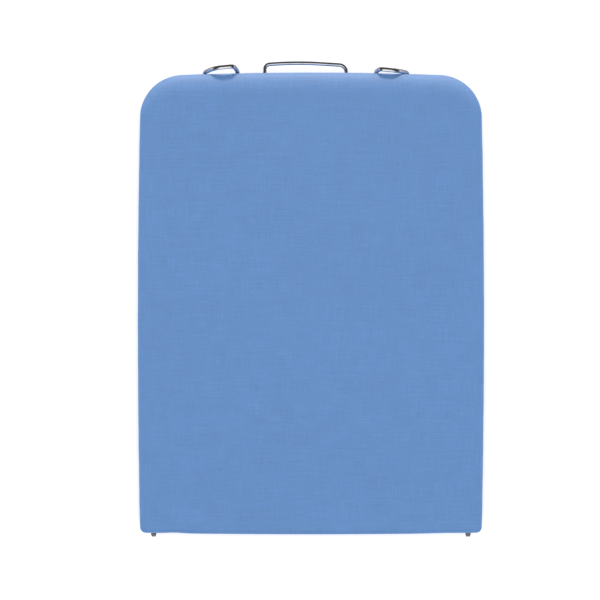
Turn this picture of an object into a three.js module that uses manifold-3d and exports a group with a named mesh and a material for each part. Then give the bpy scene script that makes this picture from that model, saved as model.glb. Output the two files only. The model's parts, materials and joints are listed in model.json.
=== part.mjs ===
// A fold-in-half tabletop ironing board, lying folded and flat on the cover of its lower half.
// Millimetres. X runs across the board, +Y from the fold to the free end, +Z up.
// Two padded steel trays meet face to face at mid-height. Each holds one folding wire leg
// frame in the space between the trays, and the lower one holds a sliding carrying handle.
import * as THREE from 'three';
import { mergeVertices } from 'three/addons/utils/BufferGeometryUtils.js';
import Module from 'manifold-3d';

const wasm = await Module();
wasm.setup();

// ---- Driving dimensions -------------------------------------------------------------------
const THICKNESS = 36;            // both halves, folded
const BOARD_LENGTH = 409.5;      // one half: a 16 inch deck and the cloth over its ends
const HALF_WIDTH = 151.4;        // at the corners, 12 inches less the bow
const SIDE_BOW = 1.95;           // how far each long side swells at its middle
const FREE_END_SAG = 2.1;        // how far the free end falls back towards its corners
const FREE_CORNER_R = 38;
const FOLD_CORNER_R = 5;
const HANDLE_REACH = 11.8;       // the bar of the handle beyond the free end
const KNUCKLE_REACH = 3.5;       // the hinge eyes beyond the fold end

const FOLD_Y = -(BOARD_LENGTH + HANDLE_REACH - KNUCKLE_REACH) / 2;
const FREE_Y = FOLD_Y + BOARD_LENGTH;
const MID_Z = THICKNESS / 2;
const GAP = 0.3;                 // between pieces that touch

// Depths are measured inward from the working face of a half.
const CLOTH = 1;
const FACE_SKIRT_DEPTH = 9;      // how far the working cloth comes down the side
const HEM_DEPTH = 15.3;          // the inner face of the turned-under hem
const HEM_WIDTH = 17;            // inset of the hem's edge
const ELASTIC_WIDTH = 5;
const PAD_TOP = CLOTH + GAP;
const PAD_THICKNESS = 4;
const SHEET = 1.2;               // steel sheet of the trays, straps and saddles
const PANEL_DEPTH = PAD_TOP + PAD_THICKNESS + GAP;
const FLANGE_DEPTH = PANEL_DEPTH + SHEET + GAP;
const STRAP_DEPTH = FLANGE_DEPTH + SHEET + GAP;
const FOOT_DEPTH = STRAP_DEPTH + SHEET + GAP;    // feet of saddles and guides
const RIM_DEPTH = 14;
const PAD_INSET = CLOTH + GAP;
const RIM_INSET = CLOTH + 0.8;
const FLANGE_INSET = 16.5;

const DIAMOND_PITCH_X = 38;      // openings of the expanded-metal deck panel
const DIAMOND_PITCH_Y = 42;
const DIAMOND_WIDTH = 26;
const DIAMOND_LENGTH = 32;

const STRAP_WIDTH = 24;
const STRAP_HALF_LENGTH = 146.5;

const LEG_WIRE_R = 2;
const LEG_PIVOT_Y = FREE_Y - 125;
const LEG_PIVOT_DEPTH = FOOT_DEPTH + LEG_WIRE_R;
const LEG_REACH = 128;           // pivot to the bend of the foot
const LEG_INNER_X = 62.4;
const LEG_OUTER_X = 89.7;
const LEG_STUB_X = 118;
const UPPER_LEG_SHIFT = -3;      // the upper leg sits a little to the left
const SADDLE_X = [-105, 0, 105];
const LEG_BEND_R = 6;
const FOOT_LENGTH = 13;
const LOWER_FOOT_BEND = THREE.MathUtils.degToRad(86.5);
const UPPER_KNEE_Y = FREE_Y - 28;  // where the upper leg levels out to leave between the hems
const FOOT_RISE = 18.5;            // the upper feet's height over the gap between the halves
const UPPER_FEET = {               // how far each foot's arch stands out, and its inner wire
  right: { reach: -1.7, innerX: 61.2 },
  left: { reach: 0, innerX: 62.4 },
};

const SADDLE_LENGTH = 10;
const SADDLE_FOOT = 9.5;         // half the width over its feet
const SADDLE_RIVET_Y = 6.8;

const RIVET_R = 1.4;
const RIVET_HOLE_R = 1.7;
const RIVET_HEAD_R = 2.3;
const RIVET_HEAD = 1;

const HINGE_X = 138.6;           // inner face of the first arm
const HINGE_ARM = 1.5;
const HINGE_ARM_STEP = 1.9;
const HINGE_AXIS_Y = FOLD_Y - 0.3;
const HINGE_EYE_R = 3.2;
const HINGE_FOOT_REACH = 10.3;
const PIN_R = 1.4;
const PIN_HOLE_R = 1.6;
const PIN_HEAD_R = 2.2;
const PIN_HEAD = 0.4;
const NOTCH_X = [136.4, 144.2];
const NOTCH_DEPTH = 13.4;
const NOTCH_LENGTH = 15;

const HANDLE_WIRE_R = 1.75;
const HANDLE_X = [-41.1, 31.6];
const HANDLE_END_Y = FREE_Y - 87;
const HANDLE_END_LENGTH = 6;
const HANDLE_BAR_RISE = [8.7, 9.7, 7.1];   // bar centre beyond the free end: left, crown, right
const HANDLE_CROWN_X = -14;
const GUIDE_Y = FREE_Y - 45;
const GUIDE_LENGTH = 24;
const GUIDE_WIDTH = 9;
const GUIDE_FOOT = 9;
const GUIDE_TOP_Z = 21;
const GUIDE_RIVET_Y = 7.5;

const WIRE_SIDES = 8;
const ROUND_SIDES = 16;
const RIVET_SIDES = 8;

// ---- Materials ----------------------------------------------------------------------------
function material(color, roughness, metalness) {
  return new THREE.MeshStandardMaterial({ color, roughness, metalness });
}
const COTTON = material(0x6a91c8, 0.9, 0);
const BINDING = material(0x5f86be, 0.9, 0);
const FELT = material(0xe6e2d8, 0.95, 0);
const TRAY_PAINT = material(0xd4d5d3, 0.5, 0.3);
const CHROME = material(0xd8dade, 0.12, 1);
const ZINC = material(0xa9acb0, 0.4, 1);
const NYLON = material(0x2b2d30, 0.55, 0);

// ---- Geometry helpers ---------------------------------------------------------------------
function toSolid(geometry) {
  const plain = geometry.clone();
  plain.deleteAttribute('normal');
  plain.deleteAttribute('uv');
  const merged = mergeVertices(plain, 1e-4);
  return new wasm.Manifold(new wasm.Mesh({
    numProp: 3,
    vertProperties: new Float32Array(merged.attributes.position.array),
    triVerts: new Uint32Array(merged.index.array),
  }));
}

function toGeometry(solid) {
  const mesh = solid.getMesh();
  const geometry = new THREE.BufferGeometry();
  geometry.setAttribute('position', new THREE.BufferAttribute(new Float32Array(mesh.vertProperties), 3));
  geometry.setIndex(new THREE.BufferAttribute(new Uint32Array(mesh.triVerts), 1));
  return geometry;
}

function cut(geometry, tools) {
  return toGeometry(tools.reduce((solid, tool) => solid.subtract(toSolid(tool)), toSolid(geometry)));
}

function join(geometries) {
  return toGeometry(geometries.map(toSolid).reduce((whole, piece) => whole.add(piece)));
}

// A prism on a closed outline, between two heights.
function prism(outline, low, high) {
  const shape = new THREE.Shape(outline);
  const geometry = new THREE.ExtrudeGeometry(shape, { depth: high - low, bevelEnabled: false });
  return geometry.translate(0, 0, low);
}

function box(x, y, z) {
  const geometry = new THREE.BoxGeometry(x[1] - x[0], y[1] - y[0], z[1] - z[0]);
  return geometry.translate((x[0] + x[1]) / 2, (y[0] + y[1]) / 2, (z[0] + z[1]) / 2);
}

function arc(centreX, centreY, radius, from, to, steps) {
  return Array.from({ length: steps + 1 }, (_, i) => {
    const angle = from + (to - from) * i / steps;
    return new THREE.Vector2(centreX + radius * Math.cos(angle), centreY + radius * Math.sin(angle));
  });
}

function roundBar(radius, low, high, sides = ROUND_SIDES) {
  const geometry = new THREE.CylinderGeometry(radius, radius, high - low, sides);
  return geometry.rotateX(Math.PI / 2).translate(0, 0, (low + high) / 2);
}

// The free end is bowed: its corners lie a little further back than its middle.
function saggingAtFreeEnd(point) {
  const reach = Math.min(Math.abs(point.x) / (HALF_WIDTH - FREE_CORNER_R), 1);
  const nearEnd = THREE.MathUtils.clamp((point.y - FREE_Y + 80) / 60, 0, 1);
  return new THREE.Vector2(point.x, point.y - FREE_END_SAG * reach * reach * nearEnd);
}

// The plan of one half, drawn in by an inset: bowed sides, large corners at the free end.
function boardOutline(inset) {
  const half = HALF_WIDTH - inset;
  const low = FOLD_Y + inset;
  const high = FREE_Y - inset;
  const foldR = Math.max(FOLD_CORNER_R - inset, 0.5);
  const freeR = FREE_CORNER_R - inset;
  const bowSteps = 6;
  const endSteps = 6;
  const freeEnd = Array.from({ length: endSteps - 1 }, (_, i) => {
    return new THREE.Vector2((half - freeR) * (1 - 2 * (i + 1) / endSteps), high);
  });
  const side = (sign) => Array.from({ length: bowSteps - 1 }, (_, i) => {
    const along = (i + 1) / bowSteps;
    const swell = SIDE_BOW * 4 * along * (1 - along);
    const y = low + foldR + (high - freeR - low - foldR) * along;
    return new THREE.Vector2(sign * (half + swell), y);
  });
  const outline = [
    ...arc(half - foldR, low + foldR, foldR, -Math.PI / 2, 0, 3),
    ...side(1),
    ...arc(half - freeR, high - freeR, freeR, 0, Math.PI / 2, 8),
    ...freeEnd,
    ...arc(-half + freeR, high - freeR, freeR, Math.PI / 2, Math.PI, 8),
    ...side(-1).reverse(),
    ...arc(-half + foldR, low + foldR, foldR, Math.PI, 1.5 * Math.PI, 3),
  ];
  return outline.map(saggingAtFreeEnd);
}

// A path through corner points, each corner rounded. One extrusion step ends on each vertex.
class WirePath extends THREE.Curve {
  constructor(corners, radii, bendSteps = 4) {
    super();
    this.points = [corners[0]];
    for (let i = 1; i < corners.length - 1; i += 1) {
      const before = corners[i - 1].clone().sub(corners[i]).normalize();
      const after = corners[i + 1].clone().sub(corners[i]).normalize();
      const half = before.angleTo(after) / 2;
      const steps = half > 1.4 ? 1 : bendSteps;
      const reach = radii[i] / Math.tan(half);
      const middle = before.clone().add(after).normalize();
      const centre = middle.clone().multiplyScalar(radii[i] / Math.sin(half)).add(corners[i]);
      const from = before.multiplyScalar(reach).add(corners[i]).sub(centre);
      const to = after.multiplyScalar(reach).add(corners[i]).sub(centre);
      const axis = from.clone().cross(to).normalize();
      const turn = from.angleTo(to);
      for (let step = 0; step <= steps; step += 1) {
        this.points.push(from.clone().applyAxisAngle(axis, turn * step / steps).add(centre));
      }
    }
    this.points.push(corners[corners.length - 1]);
    this.steps = this.points.length - 1;
  }

  getPointAt(u, target = new THREE.Vector3()) {
    return target.copy(this.points[Math.round(u * this.steps)]);
  }

  getTangentAt(u, target = new THREE.Vector3()) {
    const i = Math.round(u * this.steps);
    const before = this.points[Math.max(i - 1, 0)];
    const here = this.points[i];
    const after = this.points[Math.min(i + 1, this.steps)];
    const arriving = here.clone().sub(before).normalize();
    const leaving = after.clone().sub(here).normalize();
    return target.copy(arriving.add(leaving)).normalize();
  }
}

function wire(corners, radii, wireRadius) {
  const path = new WirePath(corners.map((c) => new THREE.Vector3(...c)), radii);
  const section = new THREE.Shape(arc(0, 0, wireRadius, 0, 2 * Math.PI, WIRE_SIDES).slice(0, -1));
  return new THREE.ExtrudeGeometry(section, { steps: path.steps, extrudePath: path });
}

// Turns a geometry made for the lower half into its mirror image for the upper half.
function mirrored(geometry) {
  return toGeometry(toSolid(geometry).mirror([0, 0, 1]).translate([0, 0, THICKNESS]));
}

// ---- Assembly -----------------------------------------------------------------------------
const board = new THREE.Group();
board.name = 'folding_tabletop_ironing_board';

function addPiece(parent, name, geometry, look) {
  const mesh = new THREE.Mesh(geometry, look);
  mesh.name = name;
  parent.add(mesh);
  return mesh;
}

// ---- Soft covers --------------------------------------------------------------------------
function coverFace() {
  const inside = prism(boardOutline(CLOTH), CLOTH, FACE_SKIRT_DEPTH + 1);
  return cut(prism(boardOutline(0), 0, FACE_SKIRT_DEPTH), [inside]);
}

function coverHem() {
  const low = FACE_SKIRT_DEPTH + GAP;
  const inside = prism(boardOutline(CLOTH), low - 1, HEM_DEPTH - CLOTH);
  const opening = prism(boardOutline(HEM_WIDTH), low - 1, HEM_DEPTH + 1);
  const notches = [-1, 1].map((side) => box(
    NOTCH_X.map((x) => side * x).sort((a, b) => a - b),
    [FOLD_Y - 1, FOLD_Y + NOTCH_LENGTH],
    [NOTCH_DEPTH, HEM_DEPTH + 1],
  ));
  return cut(prism(boardOutline(0), low, HEM_DEPTH), [inside, opening, ...notches]);
}

function hemElastic() {
  const inner = prism(boardOutline(HEM_WIDTH + GAP + ELASTIC_WIDTH), 0, THICKNESS);
  return cut(prism(boardOutline(HEM_WIDTH + GAP), HEM_DEPTH - CLOTH, HEM_DEPTH), [inner]);
}

function pad() {
  return prism(boardOutline(PAD_INSET), PAD_TOP, PAD_TOP + PAD_THICKNESS);
}

// ---- Steel trays --------------------------------------------------------------------------
function diamond(x, y) {
  return prism([
    new THREE.Vector2(x + DIAMOND_WIDTH / 2, y),
    new THREE.Vector2(x, y + DIAMOND_LENGTH / 2),
    new THREE.Vector2(x - DIAMOND_WIDTH / 2, y),
    new THREE.Vector2(x, y - DIAMOND_LENGTH / 2),
  ], 0, THICKNESS);
}

function deckPanel() {
  const columns = 3;
  const rows = 4;
  const middleY = (FOLD_Y + FREE_Y) / 2;
  const holes = [];
  for (let column = -columns; column <= columns; column += 1) {
    for (let row = -rows; row <= rows; row += 1) {
      holes.push(diamond(column * DIAMOND_PITCH_X, middleY + row * DIAMOND_PITCH_Y));
    }
  }
  return cut(prism(boardOutline(RIM_INSET + SHEET + GAP), PANEL_DEPTH, PANEL_DEPTH + SHEET), holes);
}

function rim(rivetPlaces) {
  const wallHollow = prism(boardOutline(RIM_INSET + SHEET), 0, THICKNESS);
  const wall = cut(prism(boardOutline(RIM_INSET), PANEL_DEPTH, RIM_DEPTH), [wallHollow]);
  const flangeHollow = prism(boardOutline(FLANGE_INSET), 0, THICKNESS);
  const flangeOutline = boardOutline(RIM_INSET + SHEET / 2);
  const flange = cut(prism(flangeOutline, FLANGE_DEPTH, FLANGE_DEPTH + SHEET), [flangeHollow]);
  return cut(join([wall, flange]), rivetHoles(rivetPlaces));
}

function strap(centreY, rivetPlaces) {
  const y = [centreY - STRAP_WIDTH / 2, centreY + STRAP_WIDTH / 2];
  const bar = box([-STRAP_HALF_LENGTH, STRAP_HALF_LENGTH], y, [STRAP_DEPTH, STRAP_DEPTH + SHEET]);
  return cut(bar, rivetHoles(rivetPlaces));
}

// ---- Rivets -------------------------------------------------------------------------------
function rivetHoles(places) {
  return places.map(([x, y]) => roundBar(RIVET_HOLE_R, 0, THICKNESS, RIVET_SIDES).translate(x, y, 0));
}

// A domed head on a shank. The tail is headed too where there is room under the plate.
function rivet([x, y], bottom, top, headedTail) {
  const dome = [
    [0, top + RIVET_HEAD],
    [RIVET_HEAD_R * 0.6, top + RIVET_HEAD * 0.8],
    [RIVET_HEAD_R, top + 0.1],
    [RIVET_R, top + 0.1],
  ];
  const tail = headedTail
    ? [[RIVET_R, bottom], [RIVET_HEAD_R, bottom], [RIVET_HEAD_R, bottom - RIVET_HEAD], [0, bottom - RIVET_HEAD]]
    : [[RIVET_R, bottom], [0, bottom]];
  const profile = [...dome, ...tail].map(([r, z]) => new THREE.Vector2(r, z)).reverse();
  const geometry = new THREE.LatheGeometry(profile, RIVET_SIDES);
  return toGeometry(toSolid(geometry.rotateX(Math.PI / 2))).translate(x, y, 0);
}

// ---- Saddles that hold the leg wires ------------------------------------------------------
function saddle(centreX) {
  const inner = LEG_WIRE_R + GAP;
  const outer = inner + SHEET;
  const foot = FOOT_DEPTH;
  const profile = [
    [SADDLE_FOOT, foot],
    [SADDLE_FOOT, foot + SHEET],
    [outer, foot + SHEET],
    ...arc(0, LEG_PIVOT_DEPTH, outer, 0, Math.PI, 8).map((p) => [p.x, p.y]),
    [-outer, foot + SHEET],
    [-SADDLE_FOOT, foot + SHEET],
    [-SADDLE_FOOT, foot],
    [-inner, foot],
    ...arc(0, LEG_PIVOT_DEPTH, inner, Math.PI, 0, 8).map((p) => [p.x, p.y]),
    [inner, foot],
  ].map(([y, z]) => new THREE.Vector2(y, z));
  const strip = new THREE.ExtrudeGeometry(new THREE.Shape(profile), {
    depth: SADDLE_LENGTH,
    bevelEnabled: false,
  });
  strip.translate(0, 0, -SADDLE_LENGTH / 2);
  strip.rotateX(Math.PI / 2).rotateZ(Math.PI / 2);
  strip.translate(centreX, LEG_PIVOT_Y, 0);
  return cut(strip, rivetHoles(saddleRivets(centreX)));
}

function saddleRivets(centreX) {
  return [-1, 1].map((side) => [centreX, LEG_PIVOT_Y + side * SADDLE_RIVET_Y]);
}

// ---- Wire legs ----------------------------------------------------------------------------
// One wire makes a stub, a hairpin with a foot, the crossbar, a second hairpin and a stub.
// A side is a list of corners from the stub to the crossbar, both given for positive X.
function legWire(right, left, radii, shift) {
  const corners = [
    ...right,
    ...left.map(([x, y, z]) => [-x, y, z]).reverse(),
  ].map(([x, y, z]) => [x + shift, y, z]);
  return wire(corners, [...radii, ...radii.slice().reverse()], LEG_WIRE_R);
}

function lowerLeg() {
  const z = LEG_PIVOT_DEPTH;
  const bendY = LEG_PIVOT_Y - LEG_REACH;
  const tipY = bendY - FOOT_LENGTH * Math.cos(LOWER_FOOT_BEND);
  const tipZ = z + FOOT_LENGTH * Math.sin(LOWER_FOOT_BEND);
  const side = [
    [LEG_STUB_X, LEG_PIVOT_Y, z],
    [LEG_OUTER_X, LEG_PIVOT_Y, z],
    [LEG_OUTER_X, bendY, z],
    [LEG_OUTER_X, tipY, tipZ],
    [LEG_INNER_X, tipY, tipZ],
    [LEG_INNER_X, bendY, z],
    [LEG_INNER_X, LEG_PIVOT_Y, z],
  ];
  return legWire(side, side, [0, LEG_BEND_R, 4, LEG_BEND_R, LEG_BEND_R, 4, LEG_BEND_R], 0);
}

// One foot of the upper leg: from the outer wire, over the end of the upper cover, and back
// down to the inner wire. The arch stands a little proud of the working face.
function upperFoot({ reach, innerX }) {
  const root = FREE_Y + 1.2 + reach * 0.1;
  const crown = FREE_Y + 3.9 + reach;
  return [
    [LEG_OUTER_X, root, MID_Z],
    [LEG_OUTER_X - 10, crown, MID_Z + FOOT_RISE],
    [innerX + 3, crown + 1.6, MID_Z + FOOT_RISE - 1],
    [innerX, root + 1, MID_Z],
    [innerX, UPPER_KNEE_Y, MID_Z],
    [innerX, LEG_PIVOT_Y, THICKNESS - LEG_PIVOT_DEPTH],
  ];
}

// The upper leg slopes down to mid-height and leaves between the hems at the free end.
function upperLeg() {
  const z = THICKNESS - LEG_PIVOT_DEPTH;
  const outer = [
    [LEG_STUB_X, LEG_PIVOT_Y, z],
    [LEG_OUTER_X, LEG_PIVOT_Y, z],
    [LEG_OUTER_X, UPPER_KNEE_Y, MID_Z],
  ];
  const radii = [0, LEG_BEND_R, LEG_BEND_R, 4.5, 12, 4, 3.5, LEG_BEND_R, LEG_BEND_R];
  const right = [...outer, ...upperFoot(UPPER_FEET.right)];
  const left = [...outer, ...upperFoot(UPPER_FEET.left)];
  return legWire(right, left, radii, UPPER_LEG_SHIFT);
}

// ---- Hinges -------------------------------------------------------------------------------
function hingeFootRivets(armX, side) {
  return [6.2, 11.4].map((inward) => [side * (armX - 6), FOLD_Y + inward]);
}

// One arm stands on edge from its eye, over the rim, down to a foot on the rim's flange.
function hingeArm(armX, side) {
  const foot = STRAP_DEPTH;
  const profile = [
    ...arc(HINGE_AXIS_Y, MID_Z, HINGE_EYE_R, Math.PI / 2, 1.5 * Math.PI, 10),
    ...[
      [1.2, RIM_DEPTH + 0.4],
      [3.2, RIM_DEPTH + 0.4],
      [3.2, foot],
      [14, foot],
      [14, foot + 2.5],
      [6, THICKNESS - RIM_DEPTH - 0.4],
    ].map(([inward, z]) => new THREE.Vector2(FOLD_Y + inward, z)),
  ];
  const shape = new THREE.Shape(profile);
  shape.holes.push(new THREE.Path(arc(HINGE_AXIS_Y, MID_Z, PIN_HOLE_R, 0, -2 * Math.PI, 16).slice(0, -1)));
  const blade = new THREE.ExtrudeGeometry(shape, { depth: HINGE_ARM, bevelEnabled: false });
  blade.rotateX(Math.PI / 2).rotateZ(Math.PI / 2).translate(armX, 0, 0);
  const plate = box([armX - HINGE_FOOT_REACH, armX + 0.5], [FOLD_Y + 3.2, FOLD_Y + 14], [foot, foot + SHEET]);
  const arm = join([blade, plate]);
  const sided = side > 0 ? arm : toGeometry(toSolid(arm).mirror([1, 0, 0]));
  return cut(sided, rivetHoles(hingeFootRivets(armX, side)));
}

function hingePin(side) {
  const low = HINGE_X - 0.15;
  const high = HINGE_X + HINGE_ARM_STEP + HINGE_ARM + 0.15;
  const profile = [
    [0, low - PIN_HEAD],
    [PIN_HEAD_R * 0.8, low - PIN_HEAD],
    [PIN_HEAD_R, low],
    [PIN_R, low],
    [PIN_R, high],
    [PIN_HEAD_R, high],
    [PIN_HEAD_R * 0.8, high + PIN_HEAD],
    [0, high + PIN_HEAD],
  ].map(([r, x]) => new THREE.Vector2(r, x));
  const pin = new THREE.LatheGeometry(profile, 16).rotateZ(-Math.PI / 2);
  const sided = side > 0 ? pin : pin.rotateZ(Math.PI);
  return toGeometry(toSolid(sided)).translate(0, HINGE_AXIS_Y, MID_Z);
}

// ---- Carrying handle ----------------------------------------------------------------------
function handleWire() {
  const [left, right] = HANDLE_X;
  const [leftRise, crown, rightRise] = HANDLE_BAR_RISE;
  const z = MID_Z;
  const corners = [
    [left - HANDLE_END_LENGTH, HANDLE_END_Y, z],
    [left, HANDLE_END_Y, z],
    [left, FREE_Y + leftRise, z],
    [HANDLE_CROWN_X, FREE_Y + crown, z],
    [right, FREE_Y + rightRise, z],
    [right, HANDLE_END_Y, z],
    [right + HANDLE_END_LENGTH, HANDLE_END_Y, z],
  ];
  return wire(corners, [0, 2.5, 4.5, 60, 6.5, 2.5, 0], HANDLE_WIRE_R);
}

function guideRivets(x, inward) {
  const rivetX = x + inward * (GUIDE_WIDTH + GUIDE_FOOT) / 2;
  return [-1, 1].map((end) => [rivetX, GUIDE_Y + end * GUIDE_RIVET_Y]);
}

// A moulded block with a bore for the wire and a riveted foot on its inner side.
function handleGuide(x, inward) {
  const y = [GUIDE_Y - GUIDE_LENGTH / 2, GUIDE_Y + GUIDE_LENGTH / 2];
  const block = box([x - GUIDE_WIDTH / 2, x + GUIDE_WIDTH / 2], y, [FOOT_DEPTH, GUIDE_TOP_Z]);
  const footX = [x, x + inward * (GUIDE_WIDTH / 2 + GUIDE_FOOT)].sort((a, b) => a - b);
  const foot = box(footX, y, [FOOT_DEPTH, FOOT_DEPTH + SHEET]);
  const bore = roundBar(HANDLE_WIRE_R + 0.25, -GUIDE_LENGTH, GUIDE_LENGTH);
  bore.rotateX(Math.PI / 2).translate(x, GUIDE_Y, MID_Z);
  return cut(join([block, foot]), [bore, ...rivetHoles(guideRivets(x, inward))]);
}

// ---- The two halves -----------------------------------------------------------------------
const sides = { left: -1, right: 1 };

function addHalf(name, armX, flip, shift) {
  const half = new THREE.Group();
  half.name = `${name}_half`;
  board.add(half);
  const place = (geometry) => (flip ? mirrored(geometry) : geometry);
  const add = (piece, geometry, look) => addPiece(half, `${name}_${piece}`, place(geometry), look);
  const armRivets = Object.values(sides).flatMap((side) => hingeFootRivets(armX, side));
  const legRivets = SADDLE_X.flatMap((x) => saddleRivets(x + shift));

  add('cover_face', coverFace(), COTTON);
  add('cover_hem', coverHem(), BINDING);
  add('hem_elastic', hemElastic(), BINDING);
  add('felt_pad', pad(), FELT);
  add('mesh_deck', deckPanel(), TRAY_PAINT);
  add('rim', rim(armRivets), TRAY_PAINT);
  add('leg_strap', strap(LEG_PIVOT_Y, legRivets), TRAY_PAINT);

  SADDLE_X.forEach((x, i) => {
    const where = ['left', 'middle', 'right'][i];
    add(`leg_saddle_${where}`, saddle(x + shift), ZINC);
    saddleRivets(x + shift).forEach((spot, end) => {
      const stem = rivet(spot, STRAP_DEPTH - 0.1, FOOT_DEPTH + SHEET, true);
      add(`saddle_rivet_${where}_${end + 1}`, stem, ZINC);
    });
  });

  Object.entries(sides).forEach(([where, side]) => {
    add(`hinge_arm_${where}`, hingeArm(armX, side), ZINC);
    hingeFootRivets(armX, side).forEach((spot, end) => {
      const stem = rivet(spot, FLANGE_DEPTH + 0.1, STRAP_DEPTH + SHEET, false);
      add(`hinge_rivet_${where}_${end + 1}`, stem, ZINC);
    });
  });
  return half;
}

const lowerHalf = addHalf('lower', HINGE_X, false, 0);
addHalf('upper', HINGE_X + HINGE_ARM_STEP, true, UPPER_LEG_SHIFT);

Object.entries(sides).forEach(([where, side]) => {
  addPiece(lowerHalf, `hinge_pin_${where}`, hingePin(side), ZINC);
});

addPiece(board, 'lower_leg_wire', lowerLeg(), CHROME);
addPiece(board, 'upper_leg_wire', upperLeg(), CHROME);

const guides = { left: [HANDLE_X[0], 1], right: [HANDLE_X[1], -1] };
const allGuideRivets = Object.values(guides).flatMap(([x, inward]) => guideRivets(x, inward));
addPiece(lowerHalf, 'handle_strap', strap(GUIDE_Y, allGuideRivets), TRAY_PAINT);
Object.entries(guides).forEach(([where, [x, inward]]) => {
  addPiece(lowerHalf, `handle_guide_${where}`, handleGuide(x, inward), NYLON);
  guideRivets(x, inward).forEach((spot, end) => {
    const stem = rivet(spot, STRAP_DEPTH - 0.1, FOOT_DEPTH + SHEET, true);
    addPiece(lowerHalf, `guide_rivet_${where}_${end + 1}`, stem, ZINC);
  });
});
addPiece(board, 'carrying_handle', handleWire(), CHROME);

export default board;
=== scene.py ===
"""Visual model of the folded tabletop ironing board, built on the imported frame.

Metres, in the row's frame: +Y from the fold to the free end, +Z up, lying on the floor.
"""
import json
import math

import bmesh
import bpy
import numpy as np
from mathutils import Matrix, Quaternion, Vector, kdtree, noise

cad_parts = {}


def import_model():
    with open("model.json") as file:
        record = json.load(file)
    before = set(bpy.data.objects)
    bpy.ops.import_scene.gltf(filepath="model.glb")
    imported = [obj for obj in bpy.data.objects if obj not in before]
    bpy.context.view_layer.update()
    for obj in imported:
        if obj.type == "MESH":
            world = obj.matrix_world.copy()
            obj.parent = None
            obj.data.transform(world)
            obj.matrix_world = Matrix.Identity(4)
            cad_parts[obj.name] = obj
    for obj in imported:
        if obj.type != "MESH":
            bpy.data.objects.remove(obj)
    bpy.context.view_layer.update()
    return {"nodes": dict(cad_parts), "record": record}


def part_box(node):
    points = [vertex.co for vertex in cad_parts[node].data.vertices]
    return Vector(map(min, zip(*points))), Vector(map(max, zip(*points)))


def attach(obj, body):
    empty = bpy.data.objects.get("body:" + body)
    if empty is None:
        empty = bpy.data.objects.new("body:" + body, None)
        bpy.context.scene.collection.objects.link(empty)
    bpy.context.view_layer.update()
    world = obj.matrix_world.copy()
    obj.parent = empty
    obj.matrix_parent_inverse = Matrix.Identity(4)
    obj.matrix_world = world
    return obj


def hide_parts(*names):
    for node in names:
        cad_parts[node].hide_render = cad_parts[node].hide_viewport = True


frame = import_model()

MM = 0.001

# ---- Driving dimensions, from the frame where it has them ---------------------------------
FACE_LOW, FACE_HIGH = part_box("lower_cover_face")
FOLD_Y = FACE_LOW[1]
FREE_Y = FACE_HIGH[1]
FACE_CENTRE_Y = (FOLD_Y + FREE_Y) / 2
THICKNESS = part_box("upper_cover_face")[1][2]
MID_Z = THICKNESS / 2

# The plan of one half.
SIDE_BOW = 1.95 * MM
HALF_WIDTH = FACE_HIGH[0] - SIDE_BOW
FREE_CORNER_R = 38 * MM
FOLD_CORNER_R = 5 * MM
SHARPEST_CORNER_R = 0.5 * MM
FREE_END_SAG = 2.1 * MM        # how far each end drops from its middle to its corners
FOLD_END_SAG = 1.45 * MM
FREE_SAG_START = 80 * MM       # distance from the free end at which its sag begins
SAG_EASE = 60 * MM             # over which either end's sag comes in
FOLD_DENTS = [                 # shallow hollows beside the hinges: place, half-width, depth
    (-121 * MM, 9 * MM, 0.6 * MM),
    (118 * MM, 18 * MM, 0.3 * MM),
]
RING_STEP = 1 * MM             # spacing of the outlines drawn in from the edge
RING_COUNT = 32

# The cloth as a whole, and where its hem ends.
CLOTH = 0.5 * MM
CLOTH_GRID = 1.6 * MM
CLOTH_MARGIN = 36 * MM         # flat cloth laid out beyond the board before it is trimmed
THREAD_PITCH = 0.9 * MM
TURN_R = 1.3 * MM              # of the turn from the skirt into the hem
HEM_DEPTH = 15.2 * MM
HEM_ZONE = HEM_DEPTH - 3 * MM  # everything deeper is turned under, or close to it
HEM_LIMIT = 30 * MM            # no cloth lies further in than this under the board
ELASTIC_INSET = 19.8 * MM
ELASTIC_CORNER_R = 9 * MM
ELASTIC_OVERLAP = 0.6 * MM

# The rounded edges and the skirt.
ROLL = {                       # width and height of the rounded edge on each side
    "free": (19.0 * MM, 8.2 * MM),
    "side": (5.5 * MM, 4.5 * MM),
    "fold": (3.2 * MM, 3.4 * MM),
}
ROLL_BLEND = 1.6               # how quickly it changes round a corner
SIDE_ROLL_TAPER = 60 * MM      # the side's roll tightens over this length towards the fold
WALL_BULGE = 0.45 * MM
FOLD_BULGE = 0.15 * MM         # less, so that the covers clear each other when opened flat
RIPPLE = 0.16 * MM             # unevenness of the skirt, less at the fold for the same reason
FOLD_RIPPLE = 0.04 * MM

# The working face.
FACE_SINK = 0.35 * MM          # how far the middle of the face lies under its edge
LONG_SWELL = 0.30 * MM         # unevenness of the face, in long and in short waves
SHORT_SWELL = 0.10 * MM
FACE_EASE = 30 * MM            # over which both come in from the edge
CROWN_EASE = 45 * MM           # over which the face rises to its crown
CREASE_REACH = 100 * MM        # no crease goes further than this from its first point
CREASES = [                    # points along each, its half-width and its height
    (
        [(-142.5 * MM, 26 * MM), (-130 * MM, 41 * MM), (-113 * MM, 58.5 * MM), (-92 * MM, 80.5 * MM)],
        2.2 * MM, 0.10 * MM,
    ),
    (
        [(-92 * MM, 81.5 * MM), (-83 * MM, 79 * MM), (-74.3 * MM, 72.5 * MM)],
        1.8 * MM, 0.08 * MM,
    ),
    (
        [(5.3 * MM, 189.5 * MM), (15 * MM, 189.7 * MM)],
        1.4 * MM, 0.12 * MM,
    ),
]

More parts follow.
